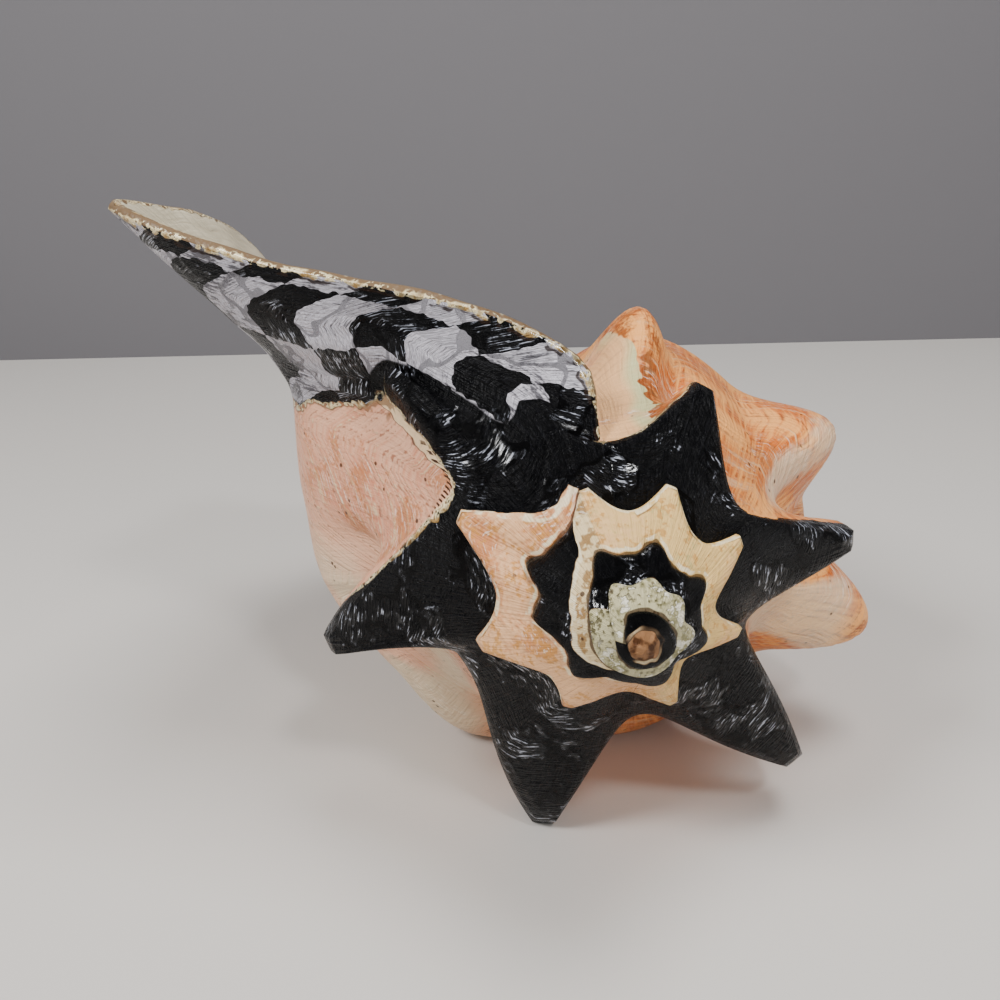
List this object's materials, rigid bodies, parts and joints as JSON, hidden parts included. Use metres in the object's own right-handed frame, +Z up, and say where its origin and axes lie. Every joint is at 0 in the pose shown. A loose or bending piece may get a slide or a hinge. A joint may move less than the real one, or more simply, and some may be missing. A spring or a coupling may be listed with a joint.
{
  "type": "conch shell",
  "caption": "Large spined conch shell with a tall spire, a wide flared lip and an open mouth, lying on its back; painted, to stand on a shelf as an ornament.",
  "frame": {"origin": "centre of the bounding box in plan, on the surface that the shell lies on", "axes": "+Y from the tip of the spire towards the front end, +Z up, out of the mouth, +X to the right as seen from the spire"},
  "size_m": [0.2212, 0.248, 0.1772],
  "materials": {
    "painted_shell": "gloss"
  },
  "bodies": {
    "root": {"shell": "painted_shell"}
  },
  "joints": []
}
